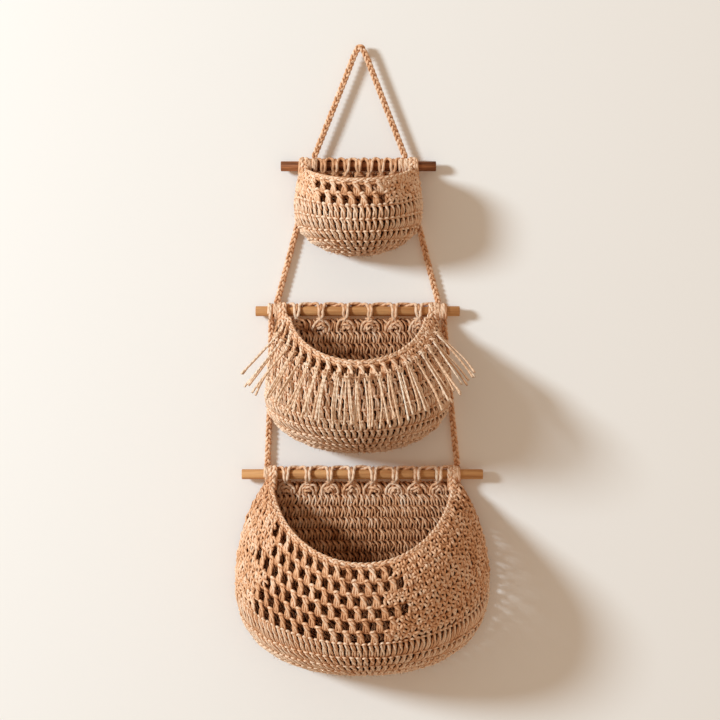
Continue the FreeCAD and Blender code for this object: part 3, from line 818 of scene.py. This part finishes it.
def rod_loops(tier):
    """Loops of the panel's top edge over the rod, joined along its top, with stitched arches under them."""
    size = TIERS[tier]
    skein = Skein()
    place = size["innermost"]
    inner = size["corner"] + (place - 1) * WRAP_WIDTH + place * (WRAP_STEP - WRAP_WIDTH)
    pitch = 2 * inner / size["loops"]
    z = size["rod_z"]
    panel_y = size["back"] - MID_FABRIC
    for index in range(size["loops"]):
        x = size["shift"] + (index - (size["loops"] - 1) / 2) * pitch
        for way in (-1, 1):
            control = np.array((
                (x - way * 3.2, panel_y - 2.6, z - 17.0),
                (x - way * 2.2, panel_y - 4.4, z - 11.5),
                (x + way * 1.9, -ROD_RADIUS - 1.6, z - 5.5),
                (x + way * 2.3, -ROD_RADIUS - 2.2, z + 0.5),
                (x + way * 3.0, -5.8, z + 6.4),
                (x + way * 6.0, -2.4, z + 8.8),
                (x + way * pitch * 0.5, 0.0, z + 8.0 + way * 1.2),
                (x + way * pitch * 0.74, 2.4, z + 8.2),
            ))
            control = control + chance.normal(0, 0.35, control.shape)
            loop = spline(control[None], steps=4)
            skein.add(loop, radius=2.25, tone=chance.normal(LOOP_TONE_AND_SHADE[tier], 0.06), away=from_rod(loop, z))
        over = around_rod(x, z, ROD_RADIUS + 1.9, 0.62, math.radians(-135), advance=0.5, points=20)
        skein.add(spline(over[None], steps=2), radius=1.9, tone=0.45)
        back = np.array((
            (x, 7.6, z - 4.0),
            (x + 0.5, panel_y + 1.5, z - 10.0),
            (x, panel_y + 1.0, z - 18.0),
        ))
        skein.add(spline(back[None]), radius=1.9, tone=0.45)
        bar = np.array((
            (x - 5.0, panel_y - 1.5, z - 9.5),
            (x - 2.5, panel_y - 5.2, z - 9.6),
            (x + 2.5, panel_y - 5.4, z - 9.0),
            (x + 5.0, panel_y - 1.5, z - 9.2),
        ))
        skein.add(spline(bar[None], steps=3), radius=1.7, tone=chance.normal(LOOP_TONE_AND_SHADE[tier] + 0.06, 0.08))
        reach = min(10.5, pitch * 0.44)
        for nested in range(3):
            half = reach * (1 - 0.32 * nested)
            arch = np.array((
                (x - half, panel_y + 0.4, z - 27.0),
                (x - half * 0.98, panel_y - 2.4, z - 20.0),
                (x - half * 0.60, panel_y - 4.2, z - 13.4 - 4.2 * nested),
                (x + half * 0.05, panel_y - 4.8, z - 11.4 - 4.4 * nested),
                (x + half * 0.68, panel_y - 4.0, z - 13.8 - 4.2 * nested),
                (x + half * 0.98, panel_y - 2.2, z - 20.5),
                (x + half * 0.94, panel_y + 0.4, z - 27.0),
            ))
            arch = arch + chance.normal(0, 0.9, arch.shape)
            tone = chance.normal(ARCH_TONE_AND_SHADE[tier], 0.05)
            skein.add(spline(arch[None], steps=3), radius=1.95, tone=tone, away=(0, -1, 0))
        # Yarn behind the loops, dark as painted shade
        for level, width in ((13.5, 0.7), (17.0, 0.95), (20.5, 1.0), (24.0, 1.0)):
            line = np.array([(x + s * reach * width, panel_y + 0.4, z - level) for s in (-1, -0.3, 0.3, 1)])
            line = line + chance.normal(0, 0.3, line.shape)
            skein.add(spline(line[None]), radius=2.2, tone=CORE_PAINTED_SHADE_TONE, away=(0, 1, 0))
    return skein


def corner_wraps(tier, side):
    """A corner of the mouth: a braid up from the edging over the rod, with two slanting turns beside it."""
    skein = Skein()
    x = wrap_x(tier, side, 0)
    z = TIERS[tier]["rod_z"]
    radius = ROD_RADIUS + 2.1
    turn = np.radians(np.linspace(150, -70, 40))[8::6]
    over = np.stack((np.full(len(turn), x), -radius * np.sin(turn), z + radius * np.cos(turn)), axis=-1)
    tail = np.array((
        (x + side * 0.5, -9.6, z - 20.0),
        (x + side * 0.2, -9.0, z - 14.0),
    ))
    path = spline(np.concatenate((tail, over))[None], steps=10)[0]
    across = np.tile((1.0, 0.0, 0.0), (len(path), 1))
    strands = braid(path, across, CORNER_BRAID, swing=3.3, dip=1.4)
    skein.add(strands, radius=2.15, tone=np.array(CORNER_TONES), away=from_rod(strands, z))
    skein.add(path - (side * 4.6, -1.0, 0), radius=2.0, tone=0.36)
    for shift, start in ((3.0, -1.6), (5.0, -1.9)):
        knot = around_rod(x + side * shift, z, ROD_RADIUS + 2.5, 1.0, start, advance=side * 4.0, points=24)
        knot = spline(knot[None], steps=2)
        skein.add(knot, radius=2.1, tone=chance.normal(0.42, 0.04), away=from_rod(knot, z))
    return skein


# Cords, each on its route's smooth spline

def route_points(route, steps):
    """Points along the NURBS spline whose control points are the route's points, in metres."""
    curve = bpy.data.curves.new("route", "CURVE")
    curve.dimensions = "3D"
    line = curve.splines.new("NURBS")
    line.points.add(len(route) - 1)
    for point, place in zip(line.points, route):
        point.co = (*place, 1)
    line.order_u = 3
    line.use_endpoint_u = True
    line.resolution_u = steps
    guide = bpy.data.objects.new("route", curve)
    bpy.context.scene.collection.objects.link(guide)
    sampled = bpy.data.meshes.new_from_object(guide)
    points = np.array([tuple(vertex.co) for vertex in sampled.vertices])
    bpy.data.meshes.remove(sampled)
    bpy.data.objects.remove(guide)
    bpy.data.curves.remove(curve)
    return points


def make_cord(name, route, body, steps):
    """A cord of three strands along its route, braided flat to the wall."""
    points = route_points(route, steps)
    across = np.cross(np.gradient(points, axis=0), (0.0, 1.0, 0.0))
    strands = braid(points / MM, across / MM, CORD_BRAID, swing=2.2, dip=1.3)
    skein = Skein(CORD_SIDES)
    skein.add(strands, radius=1.9, tone=np.array(CORD_TONES), away=unit(strands - points / MM))
    piece = skein.finish(name, JUTE, "jute", body, [name])


# Route of the hanging cord in metres, moved from the source's to follow the photograph
HANGING_ROUTE = (
    (-0.0586, 0.0, -0.1392),
    (-0.0190, 0.0, -0.0400),
    (-0.0036, 0.0, 0.0018),
    (0.0036, 0.0, 0.0018),
    (0.0192, 0.0, -0.0400),
    (0.0578, 0.0, -0.1392),
)

# Each pair of side cords: the rod and the place of its wraps above, and below
SIDE_CORDS = {"upper": (("top", -1), ("middle", 1)), "lower": (("middle", 2), ("bottom", 1))}

# How far the middle of a side cord leans in, in mm, and the steps from one of a route's points to the next
CORD_LEAN = 1.5
HANGING_STEPS = 110
SIDE_STEPS = 160

make_cord("hanging_cord", HANGING_ROUTE, "hanger", HANGING_STEPS)
for word, side in SIDES:
    wraps = Skein()
    foot = HANGING_ROUTE[0 if side < 0 else -1][0] / MM
    wrap_coil(wraps, "top", side, -2, True, 0.0, foot - wrap_x("top", side, -2))
    wraps.finish(f"hanger_wrap_{word}", JUTE, "jute", "hanger", [f"hanger_wrap_{word}"])

for cord, ((high, high_place), (low, low_place)) in SIDE_CORDS.items():
    for word, side in SIDES:
        name = f"{cord}_cord_{word}"
        start = np.array((wrap_x(high, side, high_place), CORD_Y, TIERS[high]["rod_z"] - EDGE_DROP))
        end = np.array((wrap_x(low, side, low_place), CORD_Y, TIERS[low]["rod_z"] + EDGE_DROP))
        middle = (start + end) / 2 - (side * CORD_LEAN, 0, 0)
        make_cord(name, [point * MM for point in (start, middle, end)], f"{cord}_cords", SIDE_STEPS)
        for end_word, tier, place, up in (("top", high, high_place, False), ("foot", low, low_place, True)):
            wrap_name = f"{name}_{end_word}_wrap"
            wraps = Skein()
            wrap_coil(wraps, tier, side, place, up, CORD_Y)
            wraps.finish(wrap_name, JUTE, "jute", f"{cord}_cords", [wrap_name])


# Rods

ROD_SIDES = 40


def make_rod(tier, material, slot):
    """A wooden rod with eased ends."""
    size = TIERS[tier]
    half = size["rod"] / 2
    path = np.array([(x, 0.0, 0.0) for x in (-half, -half + ROD_CHAMFER, half - ROD_CHAMFER, half)])
    path = path + (size["shift"], 0, size["rod_z"])
    rod = Skein(ROD_SIDES)
    rod.add(path, [ROD_RADIUS - ROD_CHAMFER, ROD_RADIUS, ROD_RADIUS, ROD_RADIUS - ROD_CHAMFER])
    piece = rod.finish(f"{tier}_rod", material, slot, f"{tier}_rod", [f"{tier}_rod"])
    faces = piece.data.polygons
    faces.foreach_set("use_smooth", [abs(face.normal.x) < 0.3 for face in faces])


make_rod("top", WOOD_DARK, "wood_dark")
make_rod("middle", WOOD_TAN, "wood_tan")
make_rod("bottom", WOOD_TAN, "wood_tan")


# Baskets

FIBRES = {"top": 350, "middle": 450, "bottom": 700}

for tier in TIERS:
    pouch = Pouch(tier)
    body = f"{tier}_basket"
    weave_front(pouch)
    weave_panel(pouch)
    add_fibres(pouch, FIBRES[tier])
    mouth_edge(pouch).finish(f"{tier}_rim", JUTE, "jute", body, [f"{tier}_rim"])
    rod_loops(tier).finish(f"{tier}_rod_loops", JUTE, "jute", body, [f"{tier}_rod_loops"])
    for word, side in SIDES:
        corner = corner_wraps(tier, side)
        corner.finish(f"{tier}_corner_{word}", JUTE, "jute", body, [f"{tier}_corner_{word}"])


# Fringe on the middle basket

# Its ridge lies 4 mm further from the mouth than the source's, to follow the photograph
TASSEL_COUNT = 21
TASSEL_LENGTH = 62.0
TASSEL_KNOT = 4.6
TASSEL_RIDGE = 21.0
TASSEL_END_ANGLE = math.radians(22)
TASSEL_FRONT_SPLAY = 16.0
TASSEL_SIDE_SPLAY = 50.0

# How much longer the outermost tassels are, and the radius of a strand, of its cut end and of a knot's yarn
TASSEL_SIDE_LONGER = 0.26
TASSEL_YARN = 1.2
TASSEL_TIP = 1.45
KNOT_YARN = 1.25


def tie_tassel(knot, hang, normal, sideways, length):
    """One tassel: loose strands, the two sides of its knot and a band across it."""
    tassel = Skein()
    for strand in range(chance.integers(3, 5)):
        reach = length * chance.uniform(0.90, 1.08)
        spread = chance.normal(0, 4.6)
        lift = chance.normal(0, 2.0)
        start = knot + sideways * chance.normal(0, 1.4) + hang * 2
        tip = knot + hang * reach + sideways * spread + normal * lift
        bow = sideways * chance.normal(0, 1.6) + normal * chance.uniform(0, 2.5)
        control = np.array((
            start,
            start + (tip - start) * 0.33 + bow * 0.7,
            start + (tip - start) * 0.68 + bow,
            tip,
        ))
        path = spline(control[None], steps=6)
        thick = np.full(path.shape[1], TASSEL_YARN)
        thick[-2:] = TASSEL_TIP
        tassel.add(path, thick, tone=chance.normal(0.56, 0.08))
    for way in (-1, 1):
        loop = np.array((
            knot - normal * 3 + sideways * way * 2.2 - hang * 3.5,
            knot + normal * 0.6 + sideways * way * 2.4 - hang * 3.0,
            knot + normal * 1.8 + sideways * way * 1.6 + hang * 1.0,
            knot + sideways * way * 0.8 + hang * 6.0,
        ))
        tassel.add(spline(loop[None], steps=4), KNOT_YARN, tone=chance.normal(0.5, 0.1))
    band = np.array((
        knot + sideways * 2.8 - normal * 2.0,
        knot + sideways * 2.2 + normal * 1.6 + hang * 0.5,
        knot - sideways * 2.2 + normal * 1.8 + hang * 0.8,
        knot - sideways * 2.8 - normal * 2.0,
    ))
    tassel.add(spline(band[None], steps=4), TASSEL_YARN, tone=chance.normal(0.5, 0.1))
    return tassel


def make_fringe():
    """Tassels along a ridge below the middle basket's mouth, splayed more towards the sides."""
    outer = Pouch("middle", 0.0)
    size = outer.size
    for index in range(TASSEL_COUNT):
        turn = TASSEL_END_ANGLE + (math.pi - 2 * TASSEL_END_ANGLE) * index / (TASSEL_COUNT - 1)
        aside = abs(math.cos(turn))
        drop = (size["mouth_drop"] + TASSEL_RIDGE) * math.sin(turn)
        across = (size["mouth_width"] + TASSEL_RIDGE) * math.cos(turn)
        arc = float(outer.arc_at(drop))
        angle = math.acos(across / float(np.interp(arc, outer.arc, outer.width)))
        normal = outer.outward(angle, arc)
        knot = outer.at(angle, arc) + normal * TASSEL_KNOT * 0.7
        outward = unit(normal * (1, 1, 0))
        splay = math.radians(TASSEL_FRONT_SPLAY + (TASSEL_SIDE_SPLAY - TASSEL_FRONT_SPLAY) * aside)
        hang = outward * math.sin(splay) + np.array((0, 0, -math.cos(splay)))
        sideways = unit(np.cross(hang, outward))
        tassel = tie_tassel(knot, hang, normal, sideways, TASSEL_LENGTH * (1 + TASSEL_SIDE_LONGER * aside))
        name = f"tassel_{index + 1:02d}"
        tassel.finish(name, JUTE_PALE, "jute_pale", "middle_basket", [name])


make_fringe()


# Wall, light and camera

# The wall's place and half its size in metres, and the length of a ray below which it is clear
WALL_Y = 0.012
WALL_REACH = 3.0
WALL_GAP = 0.02


def add_wall():
    """The wall, clear from behind and to light that comes out of the narrow gap behind the panels."""
    material, tree, shader = new_material("wall")
    shader.inputs["Base Color"].default_value = (0.90, 0.86, 0.80, 1)
    shader.inputs["Roughness"].default_value = 0.95
    shader.inputs["Specular IOR Level"].default_value = 0.1
    clear = tree.nodes.new("ShaderNodeBsdfTransparent")
    geometry = tree.nodes.new("ShaderNodeNewGeometry")
    mix = tree.nodes.new("ShaderNodeMixShader")
    path = tree.nodes.new("ShaderNodeLightPath")
    close = maths(tree, "LESS_THAN", path.outputs["Ray Length"], WALL_GAP)
    tree.links.new(maths(tree, "MAXIMUM", geometry.outputs["Backfacing"], close), mix.inputs[0])
    tree.links.new(shader.outputs[0], mix.inputs[1])
    tree.links.new(clear.outputs[0], mix.inputs[2])
    output = [node for node in tree.nodes if node.type == "OUTPUT_MATERIAL"][0]
    tree.links.new(mix.outputs[0], output.inputs[0])
    mesh = bpy.data.meshes.new("wall")
    corners = [(x * WALL_REACH, WALL_Y, z * WALL_REACH) for x, z in ((-1, -1), (1, -1), (1, 1), (-1, 1))]
    mesh.from_pydata(corners, [], [(0, 1, 2, 3)])
    mesh.materials.append(material)
    wall = bpy.data.objects.new("wall", mesh)
    bpy.context.scene.collection.objects.link(wall)


def add_area_light(name, place, target, size, power, colour):
    """A round lamp aimed at a target."""
    data = bpy.data.lights.new(name, "AREA")
    data.shape = "DISK"
    data.size = size
    data.energy = power
    data.color = colour
    lamp = bpy.data.objects.new(name, data)
    lamp.location = place
    aim = np.array(target) - np.array(place)
    lamp.rotation_euler = Vector(aim).to_track_quat("-Z", "Y").to_euler()
    bpy.context.scene.collection.objects.link(lamp)


add_wall()
add_area_light("key", place=(-3.75, -2.7, 0.8), target=(0.0, 0.0, -0.40), size=1.0, power=238,
               colour=(0.775, 0.92, 1.04))
world = bpy.data.worlds.new("world")
bpy.context.scene.world = world
world.use_nodes = True
background = world.node_tree.nodes["Background"]
background.inputs["Color"].default_value = (1.0, 0.79, 0.61, 1)
background.inputs["Strength"].default_value = 0.525

camera_data = bpy.data.cameras.new("camera")
camera_data.sensor_width = 36
camera_data.lens = 110.24
camera = bpy.data.objects.new("camera", camera_data)
camera.location = (0, -2.8, -0.396)
camera.rotation_euler = (math.radians(90), 0, 0)
bpy.context.scene.collection.objects.link(camera)
bpy.context.scene.camera = camera
bpy.context.scene.view_settings.view_transform = "Standard"
